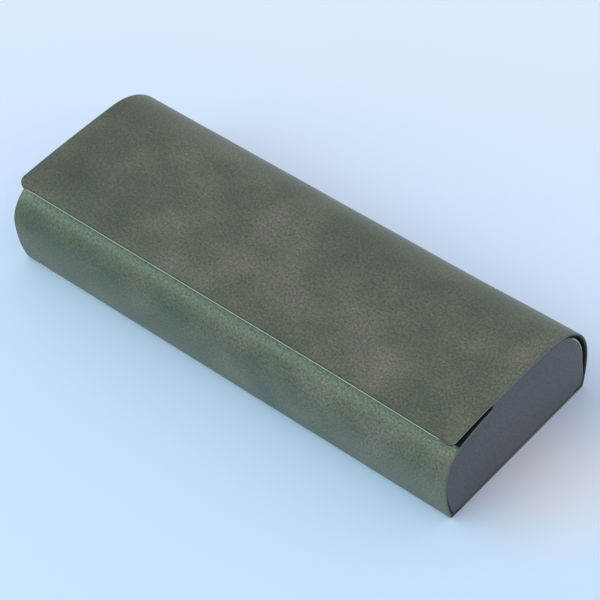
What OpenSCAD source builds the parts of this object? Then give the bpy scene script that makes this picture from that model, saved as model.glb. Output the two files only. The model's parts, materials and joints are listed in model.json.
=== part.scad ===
// Flap case for glasses: a bent sheet closed at both ends by D-shaped panels,
// with a curved flap that hinges on the rear bottom fold and covers the top.
// X runs along the case, Y from front to back, Z up. The origin is on the table,
// under the middle of the case.

/* [Overall] */
// Length of the case, end to end
case_l = 180; // [150:1:220]
// Depth of the flat base, from the front fold to the rear fold
base_d = 67.7; // [62:0.1:80]
// Height of the closed case at the crest of the lid
case_h = 35.3; // [32:0.1:42]

/* [Front wall] */
// How far the front wall bulges out past the front fold
front_bulge = 3.2; // [1.5:0.1:5]
// Outer radius of the rounded front shoulder
shoulder_r = 12.8; // [10:0.1:14]
// Angle the shoulder turns through before it flattens into the tail
shoulder_turn = 76; // [70:1:82]
// How far back from the front fold the tail runs beneath the lid
tail_reach = 20.4; // [17:0.1:24]
// Slope left in the tail at its free edge, in degrees
tail_slope = 2.5; // [1:0.5:5]
// Open height between the tail's free edge and the lid above it
tail_gap = 1.3; // [0.8:0.1:2.5]

/* [Flap] */
// Distance of the lid's front edge behind the front fold
lid_setback = 0.4; // [0:0.1:3]
// Rise of the lid from its front edge to its crest
lid_crown = 1; // [0.5:0.1:2]
// How far the rear wall bulges out past the rear fold
back_bulge = 1.6; // [1:0.1:2.5]
// Outer radius of the bend between the rear wall and the lid
back_shoulder_r = 23; // [20:0.5:25]
// Radius of the two front corners of the lid, in plan
lid_corner_r = 4; // [2:0.5:10]
// Height up to which the ends of the rear wall are cover only
crease_h = 8.5; // [7.5:0.1:9.5]
// Bare strip each side of the fold, with no stiffener or lining
crease_w = 1.8; // [1.2:0.1:2.5]
// Radial clearance of the rolled fold in the rear edge of the base
fold_fit = 0.06; // [0.03:0.01:0.1]

/* [Sheet layers] */
// Thickness of the outer cover
cover_t = 0.35; // [0.25:0.05:0.5]
// Thickness of the stiffener sheet
stiffener_t = 0.5; // [0.3:0.05:0.7]
// Thickness of the lining cloth
lining_t = 0.2; // [0.15:0.05:0.4]
// Thickness left for the glue between two layers
glue_t = 0.05; // [0.03:0.01:0.1]
// Width of the painted edge that seals the layers
edge_w = 0.6; // [0.4:0.1:1]

/* [End panels] */
// Thickness of the end panel's cover
end_cover_t = 0.35; // [0.25:0.05:0.6]
// Thickness of the board inside the end panel
end_board_t = 1.2; // [0.8:0.1:2]
// Set-back of the end panel from the end of the case
end_inset = 0.3; // [0.1:0.1:1]
// Seam between the end panel and the sheet round it
seam = 0.2; // [0.1:0.05:0.3]
// Extra width of the seam at the bottom front corner
corner_seam = 0.4; // [0.1:0.1:0.8]
// Gap between the end panel and the rear wall at half height
back_gap = 1.1; // [0.8:0.1:1.5]
// Gap between the end panel and the cover just above the rear fold
fold_gap = 0.5; // [0.4:0.05:0.7]
// Height of that close stretch above the table
fold_close_h = 6; // [4:0.1:6.5]
// Gap between the end panel's top edge and the lid
lid_gap = 0.2; // [0.15:0.05:0.4]
// Width of each leg of the corner tape inside
tape_w = 8; // [5:0.5:12]
// Thickness of the corner tape
tape_t = 0.25; // [0.15:0.05:0.4]

/* [Divider] */
// Thickness of the divider board
divider_t = 1; // [0.6:0.1:2]
// Thickness of the cloth sleeve over the board
sleeve_t = 0.35; // [0.2:0.05:0.6]
// Clearance of the board in its sleeve
sleeve_fit = 0.05; // [0.02:0.01:0.1]
// Height of the divider above the lining
divider_h = 28; // [20:0.5:29]
// Width of each glued foot of the sleeve
foot_w = 7; // [4:0.5:10]

/* [Magnets] */
// Diameter of each sheet magnet
magnet_d = 10; // [6:0.5:11]
// Distance between the two magnets of a pair
magnet_span = 90; // [50:1:130]
// Distance of the magnets behind the front fold
magnet_y = 13; // [12.5:0.1:13.5]
// Clearance round a magnet in its punched hole
magnet_fit = 0.1; // [0.05:0.05:0.3]

/* [Hidden] */
$fn = 360;

green = "#5d655b";
grey = "#4e555d";
board_brown = "#8b7d6b";
lining_grey = "#6f7073";
steel = "#9a9c9e";

// Depths of the layers below the outer face
stiffener_d = cover_t + glue_t;
lining_d = stiffener_d + stiffener_t + glue_t;
wall = lining_d + lining_t;

// Profile sketches are in (y, z), with y from the front fold; the model is centred on mid_y
mid_y = (base_d + back_bulge - front_bulge) / 2;

// An arc is [centre y, centre z, outer radius]
function spot(arc, depth, angle) =
    [arc[0] + (arc[2] - depth) * cos(angle), arc[1] + (arc[2] - depth) * sin(angle)];
// Height of the top of an arc at a given y, and its two y at a given height
function top_z(arc, depth, y) = arc[1] + sqrt(pow(arc[2] - depth, 2) - pow(y - arc[0], 2));
function front_y(arc, depth, z) = arc[0] - sqrt(pow(arc[2] - depth, 2) - pow(z - arc[1], 2));
function rear_y(arc, depth, z) = arc[0] + sqrt(pow(arc[2] - depth, 2) - pow(z - arc[1], 2));
// Angle of a point seen from an arc's centre, from -90 to 270 degrees
function bearing(arc, p) =
    let (a = atan2(p[1] - arc[1], p[0] - arc[0])) a < -90 ? a + 360 : a;
// Radius of an arc that leaves its widest point square and drifts off by bulge over rise
function drift_r(bulge, rise) = (bulge * bulge + rise * rise) / (2 * bulge);

// Points along an arc from one bearing to another, without the last one
function run(arc, d, a0, a1) =
    [for (i = [0:arc_steps - 1]) spot(arc, d, a0 + (a1 - a0) * i / arc_steps)];

// Flap: lid, bend and rear wall
lid_r = drift_r(lid_crown, base_d / 2 - lid_setback);
lid_arc = [base_d / 2, case_h - lid_r, lid_r];
bend_y = base_d + back_bulge - back_shoulder_r;
bend_z = lid_arc[1] + sqrt(pow(lid_r - back_shoulder_r, 2) - pow(bend_y - lid_arc[0], 2));
bend_arc = [bend_y, bend_z, back_shoulder_r];
bend_end = atan2(bend_z - lid_arc[1], bend_y - lid_arc[0]);
rear_r = drift_r(back_bulge, bend_z);
rear_arc = [base_d + back_bulge - rear_r, bend_z, rear_r];

// Fold axis: the middle of the cover, where it turns from base to rear wall
fold_y = rear_y(rear_arc, cover_t / 2, cover_t / 2);
fold_z = cover_t / 2;
fold_angle = bearing(rear_arc, [fold_y, fold_z]);

// Front wall: bulge, shoulder and tail
tail_end = 90 + tail_slope;
tail_start = 180 - shoulder_turn;
tail_r = (tail_reach + front_bulge - shoulder_r * (1 + cos(tail_start)))
    / (cos(tail_end) - cos(tail_start));
tail_z = top_z(lid_arc, wall, tail_reach) - tail_gap;
shoulder_z = tail_z - shoulder_r * sin(tail_start) - tail_r * (sin(tail_end) - sin(tail_start));
shoulder_arc = [shoulder_r - front_bulge, shoulder_z, shoulder_r];
tail_arc = [shoulder_arc[0] + (shoulder_r - tail_r) * cos(tail_start),
    shoulder_z + (shoulder_r - tail_r) * sin(tail_start), tail_r];
bulge_r = drift_r(front_bulge, shoulder_z);
bulge_arc = [bulge_r - front_bulge, shoulder_z, bulge_r];

// End panel: its faces along X and its outline
end_out_x = case_l / 2 - end_inset;
end_board_x = end_out_x - end_cover_t - glue_t - end_board_t;
end_in_x = end_board_x - glue_t - lining_t;
end_z = wall + seam;
end_bulge_y = front_y(bulge_arc, wall + seam, end_z) + corner_seam;
end_bulge_r = drift_r(end_bulge_y + front_bulge - wall - seam, shoulder_z - end_z);
end_bulge_arc = [end_bulge_r - front_bulge + wall + seam, shoulder_z, end_bulge_r];
end_shoulder_arc = [shoulder_arc[0], shoulder_z, shoulder_r - wall - seam];
end_tail_arc = [tail_arc[0], tail_arc[1], tail_r - wall - seam];
end_top_arc = [lid_arc[0], lid_arc[1], lid_r - wall - lid_gap];
end_bend_r = back_shoulder_r - wall - back_gap;
end_bend_z = lid_arc[1] + sqrt(pow(end_top_arc[2] - end_bend_r, 2) - pow(bend_y - lid_arc[0], 2));
end_bend_arc = [bend_y, end_bend_z, end_bend_r];
end_bend_end = atan2(end_bend_z - lid_arc[1], bend_y - lid_arc[0]);
end_rear_arc = [rear_arc[0], rear_arc[1], rear_r - cover_t - fold_gap];

// Flap ends pass behind the end panels; between the panels the layers run down to the fold
between_x = end_in_x - 2 * seam;

// Divider: midway across the mouth between the tail and the rear wall
divider_y = (tail_reach + rear_arc[0] + rear_r - wall) / 2;
divider_top = wall + divider_h;
sleeve_half = divider_t / 2 + sleeve_fit + sleeve_t;
divider_x = end_in_x - glue_t - tape_t - seam;
foot_x = end_in_x - tape_w - seam;

// Cuts and masks run past the faces they cut by this much
over = 1;
// Straight steps along each rounded stretch of the end panel's outline
arc_steps = 16;
// Degrees by which a tight bend runs on into the arcs at its two ends, so that they join
lap = 0.1;

// Extrudes a (y, z) sketch along X, from x0 to x1
module along_x(x0, x1) {
    translate([x0, -mid_y, 0]) rotate([90, 0, 90]) linear_extrude(x1 - x0) children();
}

// Wedge that frames an arc between two bearings, from just inside the given depth outwards
module window(arc, depth, a0, a1) {
    near = depth + over;
    far = arc[2] - arc[2] / cos((a1 - a0) / 2) - over;
    polygon([spot(arc, near, a0), spot(arc, far, a0), spot(arc, far, a1), spot(arc, near, a1)]);
}

module disc(arc, depth) {
    translate([arc[0], arc[1]]) circle(arc[2] - depth);
}

// Curved strip of sheet between two depths below an arc
module band(arc, d0, d1, a0, a1) {
    intersection() {
        difference() {
            disc(arc, d0);
            disc(arc, d1);
        }
        window(arc, d1, a0, a1);
    }
}

// Front wall strip above height z0, cut short of the tail's free edge
module front_strip(d0, d1, z0, cut) {
    low = bearing(bulge_arc, [front_y(bulge_arc, d1, z0), z0]);
    intersection() {
        band(bulge_arc, d0, d1, 180, low + over);
        translate([-front_bulge - over, z0]) square([bulge_r, shoulder_z - z0 + over]);
    }
    band(shoulder_arc, d0, d1, tail_start - lap, 180 + lap);
    cut_end = bearing(tail_arc, [tail_reach - cut, top_z(tail_arc, 0, tail_reach - cut)]);
    band(tail_arc, d0, d1, cut_end, tail_start);
}

// Flat base strip between two depths, from the front wall back to y1
module base_strip(d0, d1, y1) {
    intersection() {
        translate([-front_bulge, d0]) square([y1 + front_bulge, d1 - d0]);
        disc(bulge_arc, d0);
    }
}

// Flap strip from the bearing low on the rear wall, up and over the lid
module flap_strip(d0, d1, low) {
    band(rear_arc, d0, d1, low, 0);
    band(bend_arc, d0, d1, -lap, bend_end + lap);
    front = bearing(lid_arc, [lid_setback - over, top_z(lid_arc, 0, lid_setback - over)]);
    band(lid_arc, d0, d1, bend_end, front);
}

// Bearing on the rear wall at height z
function rear_low(z) = bearing(rear_arc, [rear_y(rear_arc, 0, z), z]);

// Plan of the flap, drawn in by inset on its three free sides, with rounded front corners
module flap_plan(inset) {
    r = max(lid_corner_r - inset, 0.1);
    x = case_l / 2 - inset;
    y = lid_setback + inset - mid_y;
    depth = mid_y + base_d;
    translate([0, 0, -over]) linear_extrude(case_h + 2 * over) {
        translate([-x + r, y]) square([2 * (x - r), depth]);
        translate([-x, y + r]) square([2 * x, depth - r]);
        for (side = [-1, 1]) translate([side * (x - r), y + r]) circle(r);
    }
}

// Inner flap layer: full length above the crease, and down to the fold between the end panels
module flap_layer(d0, d1) {
    x = case_l / 2 - edge_w - glue_t;
    intersection() {
        union() {
            along_x(-x, x) flap_strip(d0, d1, rear_low(crease_h));
            along_x(-between_x, between_x) band(rear_arc, d0, d1, rear_low(fold_z + crease_w), 0);
        }
        flap_plan(edge_w + glue_t);
    }
}

module magnet_post(side, d) {
    translate([side * magnet_span / 2, magnet_y - mid_y, case_h / 2]) cylinder(d = d, h = case_h);
}

module flap_cover() {
    color(green) difference() {
        intersection() {
            along_x(-case_l / 2, case_l / 2) {
                translate([fold_y, fold_z]) circle(cover_t / 2);
                flap_strip(0, cover_t, fold_angle);
                flap_strip(0, wall, rear_low(crease_h));
            }
            flap_plan(0);
        }
        intersection() {
            along_x(-case_l / 2 + edge_w, case_l / 2 - edge_w)
                flap_strip(cover_t, wall + over, rear_low(crease_h - over));
            flap_plan(edge_w);
        }
    }
}

module flap_stiffener() {
    color(board_brown) difference() {
        flap_layer(stiffener_d, stiffener_d + stiffener_t);
        for (side = [-1, 1]) magnet_post(side, magnet_d + 2 * magnet_fit);
    }
}

module flap_lining() {
    color(lining_grey) flap_layer(lining_d, wall);
}

module lid_magnet(side) {
    color(steel) intersection() {
        along_x(-case_l / 2, case_l / 2)
            flap_strip(stiffener_d, stiffener_d + stiffener_t, rear_low(crease_h));
        magnet_post(side, magnet_d);
    }
}

module shell_cover() {
    laminate_y = fold_y - crease_w;
    color(green) difference() {
        along_x(-case_l / 2, case_l / 2) difference() {
            union() {
                front_strip(0, wall, wall, 0);
                base_strip(0, wall, laminate_y);
                base_strip(0, cover_t, fold_y);
            }
            translate([fold_y, fold_z]) circle(cover_t / 2 + fold_fit);
        }
        along_x(-case_l / 2 + edge_w, case_l / 2 - edge_w) {
            front_strip(cover_t, wall + over, wall, edge_w);
            base_strip(cover_t, wall + over, laminate_y + over);
        }
    }
}

module front_stiffener() {
    x = case_l / 2 - edge_w - glue_t;
    color(board_brown) difference() {
        along_x(-x, x)
            front_strip(stiffener_d, stiffener_d + stiffener_t, crease_w, edge_w + glue_t);
        for (side = [-1, 1]) magnet_post(side, magnet_d + 2 * magnet_fit);
    }
}

module base_stiffener() {
    x = case_l / 2 - edge_w - glue_t;
    color(board_brown) along_x(-x, x) translate([crease_w, stiffener_d])
        square([fold_y - 2 * crease_w, stiffener_t]);
}

module shell_lining() {
    x = case_l / 2 - edge_w - glue_t;
    color(lining_grey) along_x(-x, x) {
        front_strip(lining_d, wall, wall, edge_w + glue_t);
        base_strip(lining_d, wall, fold_y - crease_w);
    }
}

module front_magnet(side) {
    color(steel) intersection() {
        along_x(-case_l / 2, case_l / 2)
            front_strip(stiffener_d, stiffener_d + stiffener_t, crease_w, edge_w);
        magnet_post(side, magnet_d);
    }
}

// Outline of the end panel, drawn in by d: up the front, over the tail, along the lid, down the back
module end_outline(d) {
    z0 = end_z + d;
    step_y = tail_reach + seam + d;
    low_front = [front_y(end_bulge_arc, d, z0), z0];
    step_low = [step_y, top_z(end_tail_arc, d, step_y)];
    step_high = [step_y, top_z(end_top_arc, d, step_y)];
    bend_low = spot(end_bend_arc, d, 0);
    close_top = [rear_y(end_rear_arc, d, fold_close_h), fold_close_h];
    low_rear = [rear_y(end_rear_arc, d, z0), z0];
    polygon(concat(
        run(end_bulge_arc, d, bearing(end_bulge_arc, low_front), 180),
        run(end_shoulder_arc, d, 180, tail_start),
        run(end_tail_arc, d, tail_start, bearing(end_tail_arc, step_low)), [step_low],
        run(end_top_arc, d, bearing(end_top_arc, step_high), end_bend_end),
        run(end_bend_arc, d, end_bend_end, 0), [bend_low],
        run(end_rear_arc, d, bearing(end_rear_arc, close_top), bearing(end_rear_arc, low_rear)),
        [low_rear]));
}

module end_cover() {
    color(grey) difference() {
        along_x(end_board_x, end_out_x) end_outline(0);
        along_x(end_board_x - over, end_out_x - end_cover_t) end_outline(end_cover_t);
    }
}

module end_board() {
    color(board_brown) along_x(end_board_x, end_board_x + end_board_t)
        end_outline(end_cover_t + glue_t);
}

module end_lining() {
    color(lining_grey) along_x(end_in_x, end_in_x + lining_t) end_outline(end_cover_t);
}

// Line at depth d inside the sheet, from the tail down the front wall and back along the base
function corner_line(d) = let (
        tail_top = [tail_reach - edge_w, top_z(tail_arc, d, tail_reach - edge_w)],
        corner = [front_y(bulge_arc, d, d), d])
    concat(
        run(tail_arc, d, bearing(tail_arc, tail_top), tail_start),
        run(shoulder_arc, d, tail_start, 180),
        run(bulge_arc, d, 180, bearing(bulge_arc, corner)),
        [corner, [fold_y - crease_w - over, d]]);

// Strip between two such lines
module corner_strip(d0, d1) {
    near = corner_line(d0);
    far = corner_line(d1);
    polygon(concat(near, [for (i = [len(far) - 1:-1:0]) far[i]]));
}

// L-shaped cloth tape that joins the end panel to the lining of the base and front wall
module end_tape() {
    deep = wall + glue_t;
    tape_x = end_in_x - glue_t;
    color(lining_grey) {
        along_x(tape_x - tape_w, tape_x) corner_strip(deep, deep + tape_t);
        along_x(tape_x - tape_t, tape_x) corner_strip(deep, deep + tape_w);
    }
}

// Upright slab of the divider, rounded along the top, centred on the divider
module divider_wall(half, z0, z1) {
    translate([divider_y - half, z0]) square([2 * half, z1 - half - z0]);
    translate([divider_y, z1 - half]) circle(half);
}

module divider_board() {
    z0 = wall + glue_t + sleeve_t + sleeve_fit;
    color(board_brown) along_x(-divider_x, divider_x)
        divider_wall(divider_t / 2, z0, divider_top - sleeve_t - sleeve_fit);
}

module divider_sleeve() {
    z0 = wall + glue_t;
    color(lining_grey) {
        along_x(-divider_x, divider_x) difference() {
            divider_wall(sleeve_half, z0 + tape_t + seam, divider_top);
            divider_wall(sleeve_half - sleeve_t, z0, divider_top - sleeve_t);
        }
        along_x(-foot_x, foot_x) {
            translate([divider_y - sleeve_half - foot_w, z0])
                square([2 * (sleeve_half + foot_w), sleeve_t]);
            for (side = [-1, 1])
                translate([divider_y + side * (sleeve_half - sleeve_t / 2) - sleeve_t / 2, z0])
                    square([sleeve_t, tape_t + seam + over]);
        }
    }
}

flap_cover();
flap_stiffener();
flap_lining();
lid_magnet(-1);  // lid_magnet_left
lid_magnet(1);  // lid_magnet_right
shell_cover();
front_stiffener();
base_stiffener();
shell_lining();
front_magnet(-1);  // front_magnet_left
front_magnet(1);  // front_magnet_right
mirror([1, 0, 0]) end_cover();  // left_end_cover
mirror([1, 0, 0]) end_board();  // left_end_board
mirror([1, 0, 0]) end_lining();  // left_end_lining
mirror([1, 0, 0]) end_tape();  // left_end_tape
end_cover();  // right_end_cover
end_board();  // right_end_board
end_lining();  // right_end_lining
end_tape();  // right_end_tape
divider_board();
divider_sleeve();
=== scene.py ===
# %% [markdown]
# # A flap case for glasses
# The case is one sheet of covered board, folded round two D-shaped end panels. The front wall
# bulges and rolls back into a tail, and a long flap comes up from the rear fold, bends over and
# lies on the tail as the lid. We load the imported model first. It gives the bodies that move, and
# its box gives the case's length, height and depth.

# %% Load the imported model
import json
import math

import bmesh
import bpy
from mathutils import Matrix, Vector


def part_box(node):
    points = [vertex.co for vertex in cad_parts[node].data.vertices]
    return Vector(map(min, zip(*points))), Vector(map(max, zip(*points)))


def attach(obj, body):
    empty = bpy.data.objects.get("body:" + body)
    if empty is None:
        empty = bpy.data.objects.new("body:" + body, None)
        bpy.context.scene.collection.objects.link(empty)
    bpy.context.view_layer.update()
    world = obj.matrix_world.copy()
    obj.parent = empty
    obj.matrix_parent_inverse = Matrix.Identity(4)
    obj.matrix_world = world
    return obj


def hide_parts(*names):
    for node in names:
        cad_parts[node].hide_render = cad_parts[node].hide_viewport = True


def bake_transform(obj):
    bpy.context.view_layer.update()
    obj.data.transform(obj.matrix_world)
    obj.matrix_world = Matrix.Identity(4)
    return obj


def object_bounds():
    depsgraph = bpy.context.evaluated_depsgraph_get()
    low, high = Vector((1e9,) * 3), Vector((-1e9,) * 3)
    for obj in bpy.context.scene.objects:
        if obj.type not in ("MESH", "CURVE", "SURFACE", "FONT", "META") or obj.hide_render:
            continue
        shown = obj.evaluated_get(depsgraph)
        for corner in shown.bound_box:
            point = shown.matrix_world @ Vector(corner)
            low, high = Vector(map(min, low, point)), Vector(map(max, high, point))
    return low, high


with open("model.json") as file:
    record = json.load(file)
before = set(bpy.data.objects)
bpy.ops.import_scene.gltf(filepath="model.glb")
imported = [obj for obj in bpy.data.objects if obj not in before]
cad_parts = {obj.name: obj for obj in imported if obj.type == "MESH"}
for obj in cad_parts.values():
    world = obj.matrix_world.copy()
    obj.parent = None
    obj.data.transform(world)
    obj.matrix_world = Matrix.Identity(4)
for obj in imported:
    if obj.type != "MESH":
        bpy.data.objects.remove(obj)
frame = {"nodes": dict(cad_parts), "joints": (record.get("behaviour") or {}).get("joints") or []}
cad_low, cad_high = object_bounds()
print("packed model, mm:", [round(1000 * side, 1) for side in cad_high - cad_low])

# %% [markdown]
# ## One helper for all node trees
# Geometry trees and material trees are both made of nodes, settings and links, so one small
# function adds any node. An input can be a plain value, a socket or another node: a socket is
# linked, and a node stands for its first output. Colours are written as sRGB hex values, as a
# colour picker shows them, and one function turns them into the linear values Blender works with.

# %% Helpers for nodes and colours
MM = 0.001


def add_node(tree, kind, inputs=None, **settings):
    """Adds a node to a tree, with its settings, its input values and its links."""
    node = tree.nodes.new(kind)
    for name, value in settings.items():
        setattr(node, name, value)
    for key, value in (inputs or {}).items():
        if isinstance(value, bpy.types.Node):
            value = value.outputs[0]
        if isinstance(value, bpy.types.NodeSocket):
            tree.links.new(value, node.inputs[key])
        else:
            node.inputs[key].default_value = value
    return node


def linear(hex_colour):
    """An sRGB hex colour as linear red, green, blue and alpha."""
    parts = [int(hex_colour[i:i + 2], 16) / 255 for i in (1, 3, 5)]
    return [p / 12.92 if p <= 0.04045 else ((p + 0.055) / 1.055) ** 2.4 for p in parts] + [1]


def set_stops(ramp, stops):
    """Gives a colour ramp its stops, from rising (position, hex colour) pairs."""
    elements = ramp.color_ramp.elements
    while len(elements) > 1:
        elements.remove(elements[-1])
    elements[0].position, elements[0].color = stops[0][0], linear(stops[0][1])
    for position, colour in stops[1:]:
        elements.new(position).color = linear(colour)


print("#808080 as picked is", round(linear("#808080")[0], 3), "in linear light")

# %% [markdown]
# ## The sizes that drive the shape
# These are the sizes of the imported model, in millimetres, measured back from the front fold and
# up from the table. An arc is its centre and its outer radius, and each arc runs smoothly into
# the next. The length, height and depth come from the frame's own box.

# %% The driving sizes
case_l = (cad_high.x - cad_low.x) / MM
case_h = cad_high.z / MM
front_bulge, back_bulge = 3.2, 1.6
base_d = (cad_high.y - cad_low.y) / MM - front_bulge - back_bulge
mid_y = (base_d + back_bulge - front_bulge) / 2
cover_t, body_t, wall_t = 0.35, 0.95, 1.15   # cover alone, cover on its board, with the lining

lid_setback, lid_crown, lid_corner_r = 0.4, 1.0, 4.0
shoulder_r, shoulder_turn = 12.8, 76
tail_reach, tail_slope, tail_gap = 20.4, 2.5, 1.3
back_shoulder_r = 23
front_fold_r, rear_fold_r = 1.25, 0.6        # outer radius of the two bottom folds
fold_gap_half = 1.8                          # bare cover on each side of the rear fold
print("case", round(case_l, 1), "by", round(base_d + front_bulge + back_bulge, 1), "by",
      round(case_h, 1), "mm; sheet", wall_t, "mm")

# %% [markdown]
# A wall that starts upright and leans outwards is one large arc. Where two arcs meet smoothly,
# the meeting point lies on the line through both centres, and so each centre gives the next.

# %% The arcs of the outline


def drift_r(bulge, rise):
    """Radius of an arc that starts upright and drifts off by bulge over a given rise."""
    return (bulge ** 2 + rise ** 2) / (2 * bulge)


def bearing_of(arc, y, z):
    """Angle of a point seen from an arc's centre, in degrees, from -90 to 270."""
    a = math.degrees(math.atan2(z - arc[1], y - arc[0]))
    return a + 360 if a < -90 else a


def arc_top(arc, depth, y):
    return arc[1] + math.sqrt((arc[2] - depth) ** 2 - (y - arc[0]) ** 2)


lid_r = drift_r(lid_crown, base_d / 2 - lid_setback)
lid_arc = (base_d / 2, case_h - lid_r, lid_r)
bend_y = base_d + back_bulge - back_shoulder_r
bend_z = lid_arc[1] + math.sqrt((lid_r - back_shoulder_r) ** 2 - (bend_y - lid_arc[0]) ** 2)
bend_arc = (bend_y, bend_z, back_shoulder_r)
rear_r = drift_r(back_bulge, bend_z)
rear_arc = (base_d + back_bulge - rear_r, bend_z, rear_r)

tail_end, tail_start = 90 + tail_slope, 180 - shoulder_turn
cos_end, cos_start = (math.cos(math.radians(a)) for a in (tail_end, tail_start))
sin_end, sin_start = (math.sin(math.radians(a)) for a in (tail_end, tail_start))
tail_r = (tail_reach + front_bulge - shoulder_r * (1 + cos_start)) / (cos_end - cos_start)
tail_z = arc_top(lid_arc, wall_t, tail_reach) - tail_gap
shoulder_z = tail_z - shoulder_r * sin_start - tail_r * (sin_end - sin_start)
shoulder_arc = (shoulder_r - front_bulge, shoulder_z, shoulder_r)
tail_arc = (shoulder_arc[0] + (shoulder_r - tail_r) * cos_start,
            shoulder_z + (shoulder_r - tail_r) * sin_start, tail_r)
bulge_r = drift_r(front_bulge, shoulder_z)
bulge_arc = (bulge_r - front_bulge, shoulder_z, bulge_r)


def fold_arc(wall_arc, radius, side):
    """The small arc of a fold, between the table and a wall arc on side -1 (front) or 1 (rear)."""
    reach = math.sqrt((wall_arc[2] - radius) ** 2 - (wall_arc[1] - radius) ** 2)
    return wall_arc[0] + side * reach, radius, radius


front_fold = fold_arc(bulge_arc, front_fold_r, -1)
rear_fold = fold_arc(rear_arc, rear_fold_r, 1)
hinge = Vector(frame["joints"][0]["pos_m"])
hinge_y = hinge.y / MM + mid_y
print("tail ends", round(tail_z, 2), "mm up; hinge axis at y", round(hinge_y, 2), "mm")

# %% [markdown]
# ## The line that the sheet follows
# Seen from the end, the sheet is a line of arcs. We write it as rows: each row is a point on the
# outer face, the direction inwards, and how far along the flat sheet it lies from the free edge.
# Rows lie close together where the sheet bends tightly or where an edge is rounded, and far
# apart where it is nearly flat.

# %% Helpers for rows
rounding = 0.22                              # how much the cut edges are rounded over
hold = 0.3                                   # flat strip beside the rounding, for clean shading
corner_bearings = (35, 45, 55, 65, 77, 90)   # a rounded corner gets a row at each of these, degrees


def arc_rows(arc, start, end, spacing, first=(0,)):
    """Rows along an arc between two bearings. first lists distances that get a row of their own."""
    length = abs(math.radians(end - start)) * arc[2]
    steps = max(1, math.ceil((length - first[-1]) / spacing))
    places = list(first) + [first[-1] + (length - first[-1]) * (i + 1) / steps
                            for i in range(steps)]
    rows = []
    for place in places:
        a = math.radians(start + (end - start) * place / length)
        rows.append((arc[0] + arc[2] * math.cos(a), arc[1] + arc[2] * math.sin(a),
                     -math.cos(a), -math.sin(a)))
    return rows


def table_rows(start_y, end_y, spacing):
    """Rows along the table, where inwards is straight up."""
    steps = max(1, math.ceil(abs(end_y - start_y) / spacing))
    return [(start_y + (end_y - start_y) * i / steps, 0, 0, 1) for i in range(steps + 1)]


def joined(*parts):
    """One list of (row, distance along) from several stretches, without doubled points."""
    rows, along = [], 0
    for part in parts:
        for row in part:
            step = math.dist(row[:2], rows[-1][0][:2]) if rows else 0
            if rows and step < 1e-4:
                continue
            along += step
            rows.append((row, along))
    return rows


def corner_lengths(radius):
    """Distances from a free edge at which the rounded edge and the rounded corner need a row."""
    near_edge = [0, 0.3 * rounding, rounding, rounding + hold]
    corner = [radius * (1 - math.cos(math.radians(a))) for a in corner_bearings]
    return near_edge + [c for c in corner if c > near_edge[-1] + 0.1]


print("rows at a free edge, mm:", [round(c, 2) for c in corner_lengths(lid_corner_r)])

# %% The rows of the two sheets
lid_front = bearing_of(lid_arc, lid_setback, arc_top(lid_arc, 0, lid_setback))
bend_end = bearing_of(lid_arc, bend_y, bend_z)
rear_low = bearing_of(rear_arc, rear_fold[0], rear_fold[1])
rear_low = rear_low if rear_low < 90 else rear_low - 360
seam_y = hinge_y - fold_gap_half
flap_rows = joined(
    arc_rows(lid_arc, lid_front, bend_end, spacing=2, first=corner_lengths(lid_corner_r)),
    arc_rows(bend_arc, bend_end, 0, spacing=0.8),
    arc_rows(rear_arc, 0, rear_low, spacing=0.6),
    arc_rows(rear_fold, rear_low, -90, spacing=0.15),
    table_rows(rear_fold[0], seam_y, spacing=0.4))

tail_corner_r = 1.0
tail_edge = bearing_of(tail_arc, tail_reach, arc_top(tail_arc, 0, tail_reach))
bulge_low = bearing_of(bulge_arc, front_fold[0], front_fold[1])
shell_rows = joined(
    arc_rows(tail_arc, tail_edge, tail_start, spacing=1, first=corner_lengths(tail_corner_r)),
    arc_rows(shoulder_arc, tail_start, 180, spacing=0.6),
    arc_rows(bulge_arc, 180, bulge_low, spacing=1),
    arc_rows(front_fold, bulge_low, 270, spacing=0.25),
    table_rows(front_fold[0], seam_y, spacing=3))
print("flap sheet", round(flap_rows[-1][1], 1), "mm long in", len(flap_rows), "rows; shell sheet",
      round(shell_rows[-1][1], 1), "mm in", len(shell_rows))

# %% [markdown]
# ## Folding a flat slab with Geometry Nodes
# A maker cuts the sheet flat and then folds it, and the tree does the same. It starts from a flat
# slab, gives its two faces and its rim their materials, and then moves each point: a point's row
# tells it where it lies on the line of arcs, its column how far out it lies along the case, and
# its side whether it is on the outer or the inner face. The rows come in as the object's own
# points, with their sizes as attributes: "ends" holds the reach to the left and to the right and
# the sag, "section" the depth, thickness and edge curl, and "flat" the distance along and the
# lift. We build the tree in five short steps.

# %% The tree and its named inputs
SHEET_FLOATS = ("Half columns", "Rounding", "Hold", "Wave", "Sag from", "Half length")
SHEET_MATERIALS = ("Outside", "Edge", "Inside")
ROW_VECTORS = ("position", "inward", "ends", "section", "flat")
MATHS = "ShaderNodeMath"


def empty_sheet_tree():
    tree = bpy.data.node_groups.new("folded_sheet", "GeometryNodeTree")
    face = tree.interface
    face.new_socket("Rows", in_out="INPUT", socket_type="NodeSocketGeometry")
    for name in SHEET_FLOATS:
        face.new_socket(name, in_out="INPUT", socket_type="NodeSocketFloat")
    for name in SHEET_MATERIALS:
        face.new_socket(name, in_out="INPUT", socket_type="NodeSocketMaterial")
    face.new_socket("Sheet", in_out="OUTPUT", socket_type="NodeSocketGeometry")
    return tree


sheet_tree = empty_sheet_tree()
print("inputs:", [item.name for item in sheet_tree.interface.items_tree if item.in_out == "INPUT"])

# %% Step 1: the flat slab, with its materials


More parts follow.
